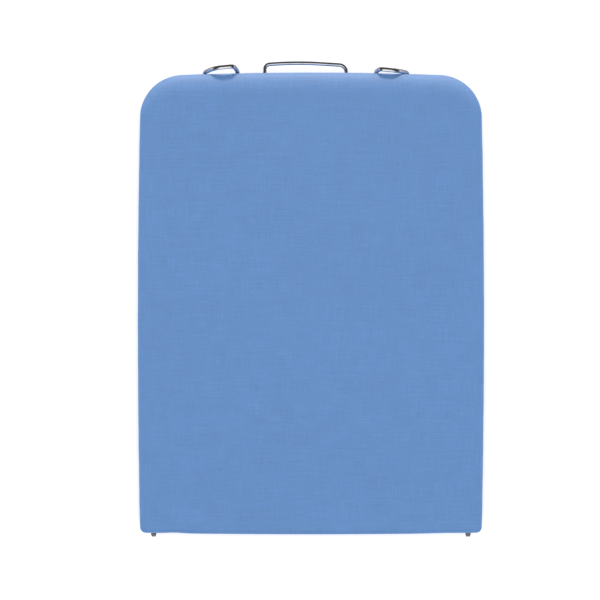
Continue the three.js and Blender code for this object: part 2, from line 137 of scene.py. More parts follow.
# Gathers of the hem.
GATHER_WAVE = 9 * MM
GATHER_DEPTH = 2.4 * MM        # at the elastic
GATHER_START = 2 * MM          # from this inset they grow towards the elastic
SKIRT_TUCK = 0.5 * MM          # how far they draw in the skirt, except at the fold
TUCK_START = 0.2               # share of the skirt's height at which that begins
TUCK_EASE = 6 * MM             # over which it fades again under the board

# Openings in the hem for the hinge arms.
NOTCH_X = (136.2 * MM, 144.4 * MM)
NOTCH_LENGTH = 15 * MM
NOTCH_DEPTH = 13.2 * MM

# The ruched casing round the elastic: half its size, and what the ruching adds.
CASING_THICK = (1.15 * MM, 0.22 * MM)
CASING_WIDE = (3.2 * MM, 0.3 * MM)
CASING_LIFT = 0.9 * MM
CASING_WAVE = 3.6 * MM
CASING_STEP = 0.9 * MM
CASING_SIDES = 14

# Felt pads. The first two are depths from the working face.
FELT_OUTER = 0.9 * MM
FELT_INNER = 5.45 * MM
FELT_EDGE_R = 1.8 * MM
FELT_INSET = 1.7 * MM
FELT_GRID = 2.4 * MM
FELT_UNEVEN = 0.15 * MM
FELT_THINNEST = 0.1 * MM
FELT_SLACK = 0.3 * MM          # spare height under the rounded edge

# Expanded-metal decks.
DECK_LONG_WAY = 21 * MM
DECK_SHORT_WAY = 9.4 * MM
DECK_STRAND = 1.35 * MM
DECK_BORDER = 9 * MM           # the lattice stops here, under the rim's flange

# All wires: steps in a bend, and the rounding of a cut end as shares of the radius.
BEND_STEPS = 12
WIRE_NOSE = 0.35
WIRE_TIP = 0.7

# Leg wires.
LEG_WIRE_R = 2 * MM
LEG_PIVOT_Y = FREE_Y - 125 * MM
LOWER_PIVOT_Z = 12.1 * MM
UPPER_PIVOT_Z = THICKNESS - LOWER_PIVOT_Z
LEG_INNER_X = 62.4 * MM
LEG_OUTER_X = 89.7 * MM
LEG_STUB_X = 118 * MM
LEG_REACH = 128 * MM
LEG_BEND_R = 6 * MM
FOOT_BEND_R = 4 * MM
FOOT_LENGTH = 13 * MM
LOWER_FOOT_BEND = math.radians(86.5)
UPPER_KNEE_Y = FREE_Y - 28 * MM
UPPER_LEG_SHIFT = -3 * MM
UPPER_FEET = {                 # how far each foot's arch stands out and up, and its two wires
    "right": (-1.7 * MM, 16.0 * MM, 61.2 * MM, 89.7 * MM),
    "left": (0.6 * MM, 17.2 * MM, 62.4 * MM, 92.2 * MM),
}
ARCH_ROOT_OUT = 1.2 * MM       # how far an arch's root and crown lie beyond the free end
ARCH_CROWN_OUT = 3.0 * MM
ARCH_CROWN_SLANT = 1.6 * MM    # the crown stands out more on its inner side, and lower
ARCH_CROWN_DROP = 1 * MM
ARCH_SHOULDERS = (10 * MM, 3 * MM)
ARCH_BENDS_R = (4.5 * MM, 12 * MM, 4 * MM, 3.5 * MM)

# Handle wire.
HANDLE_WIRE_R = 1.75 * MM
HANDLE_X = (-41.1 * MM, 31.6 * MM)
HANDLE_END_Y = FREE_Y - 87 * MM
HANDLE_END_LENGTH = 6 * MM
HANDLE_BAR_RISE = (8.3 * MM, 10.35 * MM, 7.6 * MM)
HANDLE_CROWN_X = -13 * MM
HANDLE_CROWN_R = 320 * MM
HANDLE_SHOULDER_R = (4.5 * MM, 6.5 * MM)
HANDLE_END_R = 2.5 * MM

# Rivets.
RIVET_HEAD_R = 2.3 * MM
RIVET_HEAD = 1.0 * MM
RIVET_SHANK_R = 1.4 * MM
RIVET_SIDES = 24
LONG_RIVET = 4 * MM            # a rivet longer than this has a head at both ends

# Softened edges of the frame's own parts.
SHEET_BEVEL = 0.3 * MM
NYLON_BEVEL = 0.6 * MM
ZINC_BEVEL = 0.2 * MM

# ---- Studio settings ----------------------------------------------------------------------
CAMERA_DISTANCE = 2.0          # from the working face
CAMERA_AIM = (-9.7 * MM, FACE_CENTRE_Y + 2.95 * MM)
FRAME_WIDTH = 0.5308           # what the camera sees across, at the working face
SENSOR_WIDTH = 36

KEY_SUN = (0, 15, 0.9, 8)      # azimuth, elevation, strength and softness, as in all three
FILL_SUN = (180, 35, 0.2, 40)
GLOSS_SUN = (0, 16, 7.8, 8)
SUN_DISTANCE = 3

ROOM_LIGHT = 0.845
DARK_ROOM = 0.045
SOFTBOX_TILT = 46              # degrees from straight up towards the fold
SOFTBOX_SPREAD = 45
SOFTBOX_EDGE = (0.95, 1.08)    # it fades between these shares of its spread
SOFTBOX_WIDTH = (0.22, 0.50)   # and sideways, between these parts of a direction's X
SOFTBOX_ASIDE = 0.12           # what is left of it beyond them
SIDE_PANEL = 0.70
SIDE_PANEL_EDGE = (0.88, 0.96)
FLOOR_MIRRORED = 0.38
HORIZON = (-0.10, 0.02)        # the mirrored floor fades out between these parts of Z

FLOOR_SIZE = 8.0
FLOOR_GAP = 0.05 * MM
CONTACT_REACH = 12 * MM        # how near a thing must be to darken the floor with a painted contact shadow


# ---- Node helpers -------------------------------------------------------------------------
class Nodes:
    """A material's node tree, with short ways to add and link nodes."""

    def __init__(self, name):
        self.material = bpy.data.materials.new(name)
        self.material.use_nodes = True
        self.tree = self.material.node_tree
        self.shader = self.tree.nodes["Principled BSDF"]

    def add(self, kind, **settings):
        node = self.tree.nodes.new(kind)
        for name, value in settings.items():
            setattr(node, name, value)
        return node

    def link(self, source, target):
        self.tree.links.new(source, target)

    def put(self, socket, value):
        """Links an output to a socket, or sets a plain value on it."""
        if isinstance(value, bpy.types.NodeSocket):
            self.link(value, socket)
        else:
            socket.default_value = value

    def math(self, operation, a, b=0.0):
        node = self.add("ShaderNodeMath", operation=operation)
        self.put(node.inputs[0], a)
        self.put(node.inputs[1], b)
        return node.outputs[0]

    def uv(self, name):
        return self.add("ShaderNodeUVMap", uv_map=name).outputs[0]

    def place(self):
        return self.add("ShaderNodeTexCoord").outputs["Object"]

    def scaled(self, vector, scale):
        node = self.add("ShaderNodeMapping")
        self.link(vector, node.inputs["Vector"])
        node.inputs["Scale"].default_value = scale
        return node.outputs[0]

    def noise(self, vector, scale, detail, rough):
        node = self.add("ShaderNodeTexNoise")
        self.link(vector, node.inputs["Vector"])
        node.inputs["Scale"].default_value = scale
        node.inputs["Detail"].default_value = detail
        node.inputs["Roughness"].default_value = rough
        return node.outputs["Fac"]

    def ramp(self, value, stops):
        """A colour for a value, from stops of (position, colour)."""
        node = self.add("ShaderNodeValToRGB")
        self.link(value, node.inputs[0])
        elements = node.color_ramp.elements
        while len(elements) < len(stops):
            elements.new(0.5)
        for element, (position, colour) in zip(elements, stops):
            element.position = position
            element.color = (*colour, 1.0)
        return node.outputs[0]

    def shade(self, colour, factor):
        """A colour multiplied by a value near 1."""
        node = self.add("ShaderNodeVectorMath", operation="SCALE")
        self.put(node.inputs[0], colour)
        self.put(node.inputs["Scale"], factor)
        return node.outputs[0]

    def bump(self, height, distance, strength, normal=None):
        node = self.add("ShaderNodeBump")
        self.link(height, node.inputs["Height"])
        node.inputs["Distance"].default_value = distance
        node.inputs["Strength"].default_value = strength
        if normal is not None:
            self.link(normal, node.inputs["Normal"])
        return node.outputs[0]


# ---- Materials ----------------------------------------------------------------------------
def cotton(name, colour, uv_name):
    """Plain-weave cotton: slubs along and across, a soft mottle and the weave's own relief."""
    m = Nodes(name)
    uv = m.uv(uv_name)
    weft = m.noise(m.scaled(uv, (55, 1500, 1)), 1.0, 3.0, 0.55)
    warp = m.noise(m.scaled(uv, (1500, 45, 1)), 1.0, 3.0, 0.55)
    long_weft = m.noise(m.scaled(uv, (14, 620, 1)), 1.0, 2.0, 0.5)
    fuzz = m.noise(uv, 620, 2.0, 0.5)
    mottle = m.noise(uv, 60, 3.0, 0.6)
    cloud = m.noise(uv, 11, 2.0, 0.5)
    parts = [
        (weft, 0.26), (warp, 0.27), (long_weft, 0.14), (fuzz, 0.20), (mottle, 0.14), (cloud, 0.09),
    ]
    factor = 1.0 - sum(weight for _, weight in parts) / 2
    for source, weight in parts:
        factor = m.math("ADD", m.math("MULTIPLY", source, weight), factor)
    m.link(m.shade(colour, factor), m.shader.inputs["Base Color"])

    split = m.add("ShaderNodeSeparateXYZ")
    m.link(uv, split.inputs[0])
    threads = 2 * math.pi / THREAD_PITCH
    wave_u = m.math("SINE", m.math("MULTIPLY", split.outputs[0], threads))
    wave_v = m.math("SINE", m.math("MULTIPLY", split.outputs[1], threads))
    weave = m.math("MULTIPLY", wave_u, wave_v)
    relief = m.bump(weave, 0.05 * MM, 0.6)
    relief = m.bump(m.math("ADD", weft, m.math("MULTIPLY", warp, 0.6)), 0.12 * MM, 0.7, relief)
    m.link(relief, m.shader.inputs["Normal"])
    m.shader.inputs["Roughness"].default_value = 0.66
    m.shader.inputs["Specular IOR Level"].default_value = 0.45
    m.shader.inputs["Sheen Weight"].default_value = 0.12
    m.shader.inputs["Sheen Roughness"].default_value = 0.5
    return m.material


def felt(name):
    """Needled wool felt: loose fibres over a clumpy, slightly yellow white."""
    m = Nodes(name)
    place = m.place()
    fibres = m.noise(place, 900, 4.0, 0.7)
    clumps = m.noise(place, 120, 3.0, 0.6)
    tone = m.math("ADD", m.math("MULTIPLY", fibres, 0.25), m.math("MULTIPLY", clumps, 0.2))
    colour = m.ramp(tone, [(0.12, (0.52, 0.50, 0.45)), (0.35, (0.80, 0.78, 0.72))])
    m.link(colour, m.shader.inputs["Base Color"])
    m.link(m.bump(fibres, 0.5 * MM, 0.8), m.shader.inputs["Normal"])
    m.shader.inputs["Roughness"].default_value = 0.97
    m.shader.inputs["Sheen Weight"].default_value = 0.25
    return m.material


def powder_coat(name):
    """Light grey powder coat: a fine orange peel and slight scuffs."""
    m = Nodes(name)
    place = m.place()
    peel = m.noise(place, 1400, 2.0, 0.5)
    scuffs = m.noise(m.scaled(place, (30, 260, 90)), 1.0, 5.0, 0.65)
    colour = m.ramp(scuffs, [(0.35, (0.50, 0.51, 0.51)), (0.62, (0.62, 0.63, 0.62))])
    m.link(colour, m.shader.inputs["Base Color"])
    m.link(m.bump(peel, 0.05 * MM, 0.5), m.shader.inputs["Normal"])
    rough = m.ramp(scuffs, [(0.3, (0.38,) * 3), (0.7, (0.55,) * 3)])
    m.link(rough, m.shader.inputs["Roughness"])
    m.shader.inputs["Metallic"].default_value = 0.15
    return m.material


def chrome(name):
    """Bright plating over drawn wire, with the faint ripple that drawing leaves."""
    m = Nodes(name)
    place = m.place()
    drawn = m.noise(m.scaled(place, (420, 420, 420)), 1.0, 2.0, 0.5)
    stain = m.noise(place, 90, 3.0, 0.6)
    colour = m.ramp(stain, [(0.3, (0.70, 0.70, 0.72)), (0.6, (0.86, 0.86, 0.87))])
    m.link(colour, m.shader.inputs["Base Color"])
    rough = m.ramp(drawn, [(0.3, (0.035,) * 3), (0.7, (0.09,) * 3)])
    m.link(rough, m.shader.inputs["Roughness"])
    m.link(m.bump(drawn, 0.02 * MM, 0.25), m.shader.inputs["Normal"])
    m.shader.inputs["Metallic"].default_value = 1.0
    return m.material


def zinc(name, dark, light):
    """Zinc on pressed steel: a cloudy passivation between two tones and fine brushing."""
    m = Nodes(name)
    place = m.place()
    brushed = m.noise(m.scaled(place, (260, 2600, 2600)), 1.0, 3.0, 0.6)
    cloud = m.noise(place, 170, 3.0, 0.6)
    colour = m.ramp(cloud, [(0.3, dark), (0.65, light)])
    m.link(colour, m.shader.inputs["Base Color"])
    rough = m.ramp(brushed, [(0.3, (0.20,) * 3), (0.7, (0.36,) * 3)])
    m.link(rough, m.shader.inputs["Roughness"])
    m.link(m.bump(brushed, 0.03 * MM, 0.4), m.shader.inputs["Normal"])
    m.shader.inputs["Metallic"].default_value = 1.0
    return m.material


def nylon(name):
    """Moulded black nylon with a fine grain."""
    m = Nodes(name)
    place = m.place()
    grain = m.noise(place, 1100, 3.0, 0.6)
    colour = m.ramp(grain, [(0.3, (0.018, 0.019, 0.021)), (0.7, (0.034, 0.035, 0.038))])
    m.link(colour, m.shader.inputs["Base Color"])
    m.link(m.bump(grain, 0.05 * MM, 0.5), m.shader.inputs["Normal"])
    m.shader.inputs["Roughness"].default_value = 0.5
    return m.material


def floor_paint(name):
    """A matt white that gives off its own light, with a painted contact shadow close under the board.
    """
    m = Nodes(name)
    m.shader.inputs["Base Color"].default_value = (0.42, 0.42, 0.43, 1)
    m.shader.inputs["Roughness"].default_value = 0.9
    m.shader.inputs["Specular IOR Level"].default_value = 0.0
    # Painted contact shadow: the glow dims where the board is near
    painted_contact_shadow = m.add("ShaderNodeAmbientOcclusion")
    painted_contact_shadow.inputs["Distance"].default_value = CONTACT_REACH
    painted_contact_shadow.samples = 8
    glow = m.ramp(painted_contact_shadow.outputs["AO"], [(0.45, (0.42, 0.43, 0.46)), (0.98, (0.93, 0.93, 0.93))])
    m.link(glow, m.shader.inputs["Emission Color"])
    m.shader.inputs["Emission Strength"].default_value = 1.0
    return m.material


CLOTH_UV = "cloth"
COTTON = cotton("blue_cotton", (0.1185, 0.2755, 0.597), CLOTH_UV)
BINDING = cotton("blue_cotton_binding", (0.113, 0.261, 0.570), CLOTH_UV)
FELT = felt("needled_felt")
TRAY_PAINT = powder_coat("grey_powder_coat")
CHROME = chrome("chrome_plate")
ZINC = zinc("bright_zinc", (0.42, 0.43, 0.45), (0.58, 0.59, 0.61))
# A darker copy of the zinc: painted shade for the hinge parts, which sit in shadow under the board
SHADED_ZINC = zinc("shaded_zinc", (0.11, 0.115, 0.13), (0.24, 0.25, 0.27))
NYLON = nylon("black_nylon")


# ---- Pieces and frame ---------------------------------------------------------------------
def link_object(name, data):
    obj = bpy.data.objects.new(name, data)
    bpy.context.scene.collection.objects.link(obj)
    return obj


def finish_piece(obj, body, nodes):
    """Ties a piece to its body, and hides the frame's nodes that it stands in for."""
    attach(obj, body)
    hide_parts(*nodes)
    return obj


def smooth(obj, sharp_from=None):
    """Shades smoothly, with sharp edges from an angle in degrees."""
    mesh = obj.data
    mesh.polygons.foreach_set("use_smooth", [True] * len(mesh.polygons))
    if sharp_from is not None:
        mesh.set_sharp_from_angle(angle=math.radians(sharp_from))


def mesh_piece(name, vertices, faces, material):
    mesh = bpy.data.meshes.new(name)
    mesh.from_pydata([tuple(v) for v in vertices], [], faces)
    mesh.materials.append(material)
    mesh.update()
    return link_object(name, mesh)


def face_outwards(obj):
    """Turns all faces of a closed mesh outwards."""
    bm = bmesh.new()
    bm.from_mesh(obj.data)
    bmesh.ops.recalc_face_normals(bm, faces=bm.faces)
    bm.to_mesh(obj.data)
    bm.free()


def lay_flat(obj, places):
    """Gives every vertex its place on the flat cloth, for the weave to follow."""
    layer = obj.data.uv_layers.new(name=CLOTH_UV)
    loop_vertices = np.empty(len(obj.data.loops), int)
    obj.data.loops.foreach_get("vertex_index", loop_vertices)
    layer.data.foreach_set("uv", np.array(places)[loop_vertices].ravel())


def grid_cells(wide, tall):
    """The corner numbers of each cell of a grid of points, row by row."""
    for row in range(tall - 1):
        for column in range(wide - 1):
            a = row * wide + column
            yield a, a + 1, a + wide + 1, a + wide


def height_at(depth, flip):
    """Height of a depth from a half's working face. The upper half is the flipped one."""
    return THICKNESS - depth if flip else depth


def smoothstep(value, low, high):
    t = min(max((value - low) / (high - low), 0.0), 1.0)
    return t * t * (3 - 2 * t)


def uneven(u, v, waves, seed):
    """A smooth random value for a place, in so many waves per metre."""
    return noise.noise(Vector((u * waves, v * waves, seed)))


def uneven_round(angle, waves, seed):
    """A smooth random value for a place round a closed edge."""
    return noise.noise(Vector((waves * math.cos(angle), waves * math.sin(angle), seed)))


# ---- The plan of one half -----------------------------------------------------------------
SEGMENT_POINTS = {"fold": 420, "fold_corner": 40, "side": 600, "free_corner": 110, "free": 340}


def arc(cx, cy, radius, start, turn, count):
    """Points round a centre, without the last one, which starts the next stretch."""
    angles = np.radians(start + turn * np.arange(count) / count)
    return np.stack([cx + radius * np.cos(angles), cy + radius * np.sin(angles)], axis=1)


def board_ring(inset, fold_floor=SHARPEST_CORNER_R, free_floor=SHARPEST_CORNER_R):
    """The outline drawn in by an inset. Every ring has the same points in the same order."""
    half = HALF_WIDTH - inset
    low = FOLD_Y + inset
    high = FREE_Y - inset
    fold_r = max(FOLD_CORNER_R - inset, fold_floor)
    free_r = max(FREE_CORNER_R - inset, free_floor)
    count = SEGMENT_POINTS

    def side(along):
        bowed = half + SIDE_BOW * 4 * along * (1 - along)
        return np.stack([bowed, low + fold_r + (high - free_r - low - fold_r) * along], axis=1)

    side_t = np.arange(count["side"]) / count["side"]
    fold_t = np.arange(count["fold"]) / count["fold"] * 2 - 1
    free_t = 1 - np.arange(count["free"]) / count["free"] * 2
    ring = np.concatenate([
        np.stack([fold_t * (half - fold_r), np.full(count["fold"], low)], axis=1),
        arc(half - fold_r, low + fold_r, fold_r, -90, 90, count["fold_corner"]),
        side(side_t),
        arc(half - free_r, high - free_r, free_r, 0, 90, count["free_corner"]),
        np.stack([free_t * (half - free_r), np.full(count["free"], high)], axis=1),
        arc(-half + free_r, high - free_r, free_r, 90, 90, count["free_corner"]),
        side(1 - side_t) * (-1, 1),
        arc(-half + fold_r, low + fold_r, fold_r, 180, 90, count["fold_corner"]),
    ])
    reach = np.clip(np.abs(ring[:, 0]) / (HALF_WIDTH - FREE_CORNER_R), 0, 1) ** 2
    near_free = np.clip((ring[:, 1] - FREE_Y + FREE_SAG_START) / SAG_EASE, 0, 1)
    near_fold = np.clip((FOLD_Y + SAG_EASE - ring[:, 1]) / SAG_EASE, 0, 1)
    ring[:, 1] -= FREE_END_SAG * reach * near_free
    ring[:, 1] += FOLD_END_SAG * (np.abs(ring[:, 0]) / HALF_WIDTH) ** 2 * near_fold ** 2
    for place, width, depth in FOLD_DENTS:
        ring[:, 1] += depth * np.exp(-((ring[:, 0] - place) / width) ** 2) * near_fold ** 2
    return ring


def point_tree(curve):
    """A search tree of a curve's points."""
    tree = kdtree.KDTree(len(curve))
    for i, point in enumerate(curve):
        tree.insert((point[0], point[1], 0), i)
    tree.balance()
    return tree


RINGS = np.stack([board_ring(i * RING_STEP) for i in range(RING_COUNT)])
EDGE = RINGS[0]
EDGE_COUNT = len(EDGE)
TANGENTS = np.roll(EDGE, -1, axis=0) - np.roll(EDGE, 1, axis=0)
TANGENTS /= np.linalg.norm(TANGENTS, axis=1)[:, None]
NORMALS = np.stack([TANGENTS[:, 1], -TANGENTS[:, 0]], axis=1)
STEPS = np.linalg.norm(np.roll(EDGE, -1, axis=0) - EDGE, axis=1)
ARC_LENGTH = np.concatenate([[0], np.cumsum(STEPS)])
PERIMETER = ARC_LENGTH[-1]
EDGE_TREE = point_tree(EDGE)


def edge_place(u, v):
    """(signed distance, place along the edge as a fractional index) of a flat cloth point."""
    _, i, distance = EDGE_TREE.find((u, v, 0))
    away_x = u - EDGE[i][0]
    away_y = v - EDGE[i][1]
    along = away_x * TANGENTS[i][0] + away_y * TANGENTS[i][1]
    out = away_x * NORMALS[i][0] + away_y * NORMALS[i][1]
    length = STEPS[i] if along > 0 else STEPS[i - 1]
    shift = min(max(along / length, -0.5), 0.5)
    if abs(along) < length:
        distance = abs(out)
    return math.copysign(distance, out), i + shift


def ring_point(inset, where):
    """A plan point at an inset from the edge, at a fractional index along it."""
    level = min(max(inset / RING_STEP, 0), RING_COUNT - 1.001)   # so that ring + 1 exists
    ring = int(level)
    blend = level - ring
    low = math.floor(where)
    part = where - low
    a = low % EDGE_COUNT
    b = (low + 1) % EDGE_COUNT
    outer = RINGS[ring][a] * (1 - part) + RINGS[ring][b] * part
    inner = RINGS[ring + 1][a] * (1 - part) + RINGS[ring + 1][b] * part
    return outer * (1 - blend) + inner * blend


# ---- Covers -------------------------------------------------------------------------------
def roll_size(i, y):
    """Width and height of the rounded edge at a place along the outline."""
    free = max(NORMALS[i][1], 0) ** ROLL_BLEND
    fold = max(-NORMALS[i][1], 0) ** ROLL_BLEND
    side = max(1 - free - fold, 0)
    taper = smoothstep(y, FOLD_Y, FOLD_Y + SIDE_ROLL_TAPER)
    side_roll = [ROLL["fold"][k] + (ROLL["side"][k] - ROLL["fold"][k]) * taper for k in (0, 1)]
    return [free * ROLL["free"][k] + fold * ROLL["fold"][k] + side * side_roll[k] for k in (0, 1)]


def segment_distance(x, y, a, b):
    ax, ay = a
    dx, dy = b[0] - ax, b[1] - ay
    t = ((x - ax) * dx + (y - ay) * dy) / (dx * dx + dy * dy)
    t = min(max(t, 0), 1)
    return math.hypot(x - ax - t * dx, y - ay - t * dy)


def crease_height(x, y):
    """How far the faint creases of the working face stand up at a place."""
    height = 0.0
    for points, width, size in CREASES:
        if max(abs(x - points[0][0]), abs(y - points[0][1])) > CREASE_REACH:
            continue
        distance = min(segment_distance(x, y, a, b) for a, b in zip(points, points[1:]))
        height = max(height, size * math.exp(-(distance / width) ** 2))
    return height


def pleat(where, seed):
    """How strongly the cloth is pleated at a place along the edge, from 0 to about 1."""
    arc_place = np.interp(where % EDGE_COUNT, np.arange(EDGE_COUNT + 1), ARC_LENGTH)
    angle = 2 * math.pi * arc_place / PERIMETER
    wander = uneven_round(angle, 9, seed)
    phase = round(PERIMETER / GATHER_WAVE) * angle + 4.5 * wander
    size = 0.6 + 0.4 * uneven_round(angle, 25, seed + 5)
    return size * (0.5 - 0.5 * math.cos(phase))


def cover_point(u, v, seed, crown):
    """Where a point of the flat cloth goes: (x, y, depth from the working face, plan inset)."""
    distance, where = edge_place(u, v)
    i = int(round(where)) % EDGE_COUNT
    width, height = roll_size(i, v)
    past = distance + width
    swell = LONG_SWELL * uneven(u, v, 14, seed) + SHORT_SWELL * uneven(u, v, 45, seed + 3)
    fade = smoothstep(-past, 0, FACE_EASE)
    if past <= 0:
        fall = crown * (1 - smoothstep(-past, 0, CROWN_EASE))
        depth = fall + (FACE_SINK - swell) * fade - crease_height(u, v)
        return u, v, depth, 0.0
    arc_length = math.pi / 2 * math.sqrt((width ** 2 + height ** 2) / 2)
    wall = HEM_DEPTH - TURN_R - height
    turn = TURN_R * math.pi / 2
    at_fold = max(-NORMALS[i][1], 0)
    skirt_end = arc_length + wall
    folds = pleat(where, seed)
    tuck = (1 - at_fold) * smoothstep(past, arc_length + TUCK_START * wall, skirt_end)
    tuck *= 1 - smoothstep(past, skirt_end + turn, skirt_end + turn + TUCK_EASE)
    bulge = WALL_BULGE + (FOLD_BULGE - WALL_BULGE) * at_fold
    if past < arc_length:
        angle = past / arc_length * math.pi / 2
        inset = width * (1 - math.sin(angle))
        depth = crown * math.cos(angle) + height * (1 - math.cos(angle))
    elif past < skirt_end:
        share = (past - arc_length) / wall
        inset = -bulge * math.sin(math.pi * share)
        depth = height + wall * share
    elif past < skirt_end + turn:
        angle = (past - skirt_end) / TURN_R
        inset = TURN_R * (1 - math.cos(angle))
        depth = height + wall + TURN_R * math.sin(angle)
    else:
        inset = TURN_R + past - skirt_end - turn
        growth = smoothstep(inset, GATHER_START, ELASTIC_INSET)
        depth = HEM_DEPTH - GATHER_DEPTH * folds * growth
    inset += SKIRT_TUCK * folds * tuck
    ripple = RIPPLE + (FOLD_RIPPLE - RIPPLE) * at_fold
    ripple *= uneven(u, v, 60, seed + 8)
    x, y = ring_point(max(inset, 0), where)
    if inset < 0:
        x -= NORMALS[i][0] * inset
        y -= NORMALS[i][1] * inset
    return x + NORMALS[i][0] * ripple, y + NORMALS[i][1] * ripple, depth, inset


ELASTIC_CURVE = board_ring(ELASTIC_INSET, ELASTIC_CORNER_R, FREE_CORNER_R - ELASTIC_INSET)
ELASTIC_TREE = point_tree(ELASTIC_CURVE)


def inside_elastic(x, y):
    """True past the middle of the elastic, towards the centre of the board."""
    _, i, distance = ELASTIC_TREE.find((x, y, 0))
    nearest = ELASTIC_CURVE[i]
    inward = -nearest[0] * (x - nearest[0]) + (FACE_CENTRE_Y - nearest[1]) * (y - nearest[1])
    return inward > 0 and distance > ELASTIC_OVERLAP


def cover(name, half, flip, seed, crown):
    """One sewn cloth: working face, rolled edges, skirt and turned-under hem."""
    columns = np.arange(-HALF_WIDTH - CLOTH_MARGIN, HALF_WIDTH + CLOTH_MARGIN, CLOTH_GRID)
    rows = np.arange(FOLD_Y - CLOTH_MARGIN, FREE_Y + CLOTH_MARGIN, CLOTH_GRID)
    flat = []
    points = []
    kept = []
    for v in rows:
        for u in columns:
            x, y, depth, inset = cover_point(u, v, seed, crown)
            flat.append((u, v))
            points.append((x, y, height_at(depth, flip)))
            at_hinge = NOTCH_X[0] < abs(x) < NOTCH_X[1] and y < FOLD_Y + NOTCH_LENGTH
            notched = at_hinge and depth > NOTCH_DEPTH
            under = depth > HEM_ZONE and inset > TURN_R
            trimmed = under and inside_elastic(x, y)
            kept.append(not notched and not trimmed and inset < HEM_LIMIT)
    faces = []
    for cell in grid_cells(len(columns), len(rows)):
        if all(kept[corner] for corner in cell):
            faces.append(cell if flip else cell[::-1])
    obj = mesh_piece(name, points, faces, COTTON)
    lay_flat(obj, flat)
    bm = bmesh.new()
    bm.from_mesh(obj.data)
    loose = [v for v in bm.verts if not v.link_faces]
    bmesh.ops.delete(bm, geom=loose, context="VERTS")
    bm.to_mesh(obj.data)
    bm.free()
    smooth(obj)
    thickness = obj.modifiers.new("cloth_thickness", "SOLIDIFY")
    thickness.thickness = CLOTH
    thickness.offset = -1
    nodes = [f"{half}_cover_face", f"{half}_cover_hem"]
    return finish_piece(obj, f"{half}_half", nodes)


# ---- Hem elastic --------------------------------------------------------------------------
def resampled(curve, spacing):
    """A closed curve's points at an even spacing, and its length."""
    closed = np.concatenate([curve, curve[:1]])
    steps = np.linalg.norm(np.diff(closed, axis=0), axis=1)
    length = np.concatenate([[0], np.cumsum(steps)])
    count = int(round(length[-1] / spacing))
    places = np.arange(count) * length[-1] / count
    return np.stack([np.interp(places, length, closed[:, k]) for k in (0, 1)], axis=1), length[-1]


def elastic(name, half, flip, seed):
    """A ruched casing with the elastic inside, sewn round the edge of the hem."""
    curve, length = resampled(ELASTIC_CURVE, CASING_STEP)
    count = len(curve)
    tangent = np.roll(curve, -1, axis=0) - np.roll(curve, 1, axis=0)
    tangent /= np.linalg.norm(tangent, axis=1)[:, None]
    outward = np.stack([tangent[:, 1], -tangent[:, 0]], axis=1)
    sides = CASING_SIDES
    flat = []
    points = []
    for i in range(count):
        angle = 2 * math.pi * i / count
        wander = uneven_round(angle, 11, seed + 20)
        ruching = math.sin(round(length / CASING_WAVE) * angle + 5 * wander)
        thick = CASING_THICK[0] + CASING_THICK[1] * ruching
        wide = CASING_WIDE[0] + CASING_WIDE[1] * ruching
        for k in range(sides):
            turn = 2 * math.pi * k / sides
            across = wide * math.cos(turn)
            rise = thick * math.copysign(abs(math.sin(turn)) ** 0.7, math.sin(turn))
            depth = HEM_DEPTH - CASING_LIFT + rise
            x, y = curve[i] + outward[i] * across
            flat.append((x, y))
            points.append((x, y, height_at(depth, flip)))
    faces = []
    for i in range(count):
        ahead = (i + 1) % count
        for k in range(sides):
            up = (k + 1) % sides
            faces.append((i * sides + k, ahead * sides + k, ahead * sides + up, i * sides + up))
    obj = mesh_piece(name, points, faces, BINDING)
    lay_flat(obj, flat)
    face_outwards(obj)
    smooth(obj)
    return finish_piece(obj, f"{half}_half", [f"{half}_hem_elastic"])


# ---- Felt pads ----------------------------------------------------------------------------
def roll_depth(i, y, inset):
    """Depth of the cover's rounded edge at an inset from the outline."""
    width, height = roll_size(i, y)
    slope = min(max(1 - inset / width, 0), 1)
    return height * (1 - math.sqrt(1 - slope * slope))


def felt_inset(i, y):
    """How far in the felt's edge lies so that its full edge fits under the rounded cover."""
    width, height = roll_size(i, y)
    room = FELT_INNER - FELT_EDGE_R - FELT_OUTER - FELT_SLACK
    drop = 1 - room / height
    if drop <= 0:
        return FELT_INSET
    return max(FELT_INSET, width * (1 - math.sqrt(1 - drop * drop)))


def felt_pad(name, half, flip):
    """A needled felt slab, rounded under the cover's edges and tucked inside the rim."""
    low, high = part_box(f"{half}_felt_pad")
    columns = np.arange(low[0], high[0] + FELT_GRID, FELT_GRID)
    rows = np.arange(low[1], high[1] + FELT_GRID, FELT_GRID)
    points = []
    for side in (0, 1):
        for v in rows:
            for u in columns:
                distance, where = edge_place(u, v)
                inset = -distance
                x, y = u, v
                i = int(round(where)) % EDGE_COUNT
                rim_inset = felt_inset(i, v)
                if inset < rim_inset:
                    x, y = ring_point(rim_inset, where)
                    inset = rim_inset
                share = min((inset - rim_inset) / FELT_EDGE_R, 1)
                round_off = FELT_EDGE_R * (1 - math.sqrt(1 - (1 - share) ** 2))
                under = FELT_INNER - round_off + FELT_UNEVEN * uneven(u, v, 90, 40)
                skin = FELT_OUTER + max(round_off, roll_depth(i, v, inset))
                depth = under if side else min(skin, under - FELT_THINNEST)
                points.append((x, y, height_at(depth, flip)))
    one_side = len(columns) * len(rows)
    faces = []
    for cell in grid_cells(len(columns), len(rows)):
        faces.append(cell)
        faces.append(tuple(corner + one_side for corner in reversed(cell)))
    obj = mesh_piece(name, points, faces, FELT)
    bm = bmesh.new()
    bm.from_mesh(obj.data)
    bmesh.ops.remove_doubles(bm, verts=bm.verts, dist=0.05 * MM)
    bmesh.ops.dissolve_degenerate(bm, edges=bm.edges, dist=0.02 * MM)
    rims = [e for e in bm.edges if len(e.link_faces) == 1]
    bmesh.ops.bridge_loops(bm, edges=rims)
    bmesh.ops.recalc_face_normals(bm, faces=bm.faces)
    bm.to_mesh(obj.data)
    bm.free()
    smooth(obj)
    return finish_piece(obj, f"{half}_half", [f"{half}_felt_pad"])


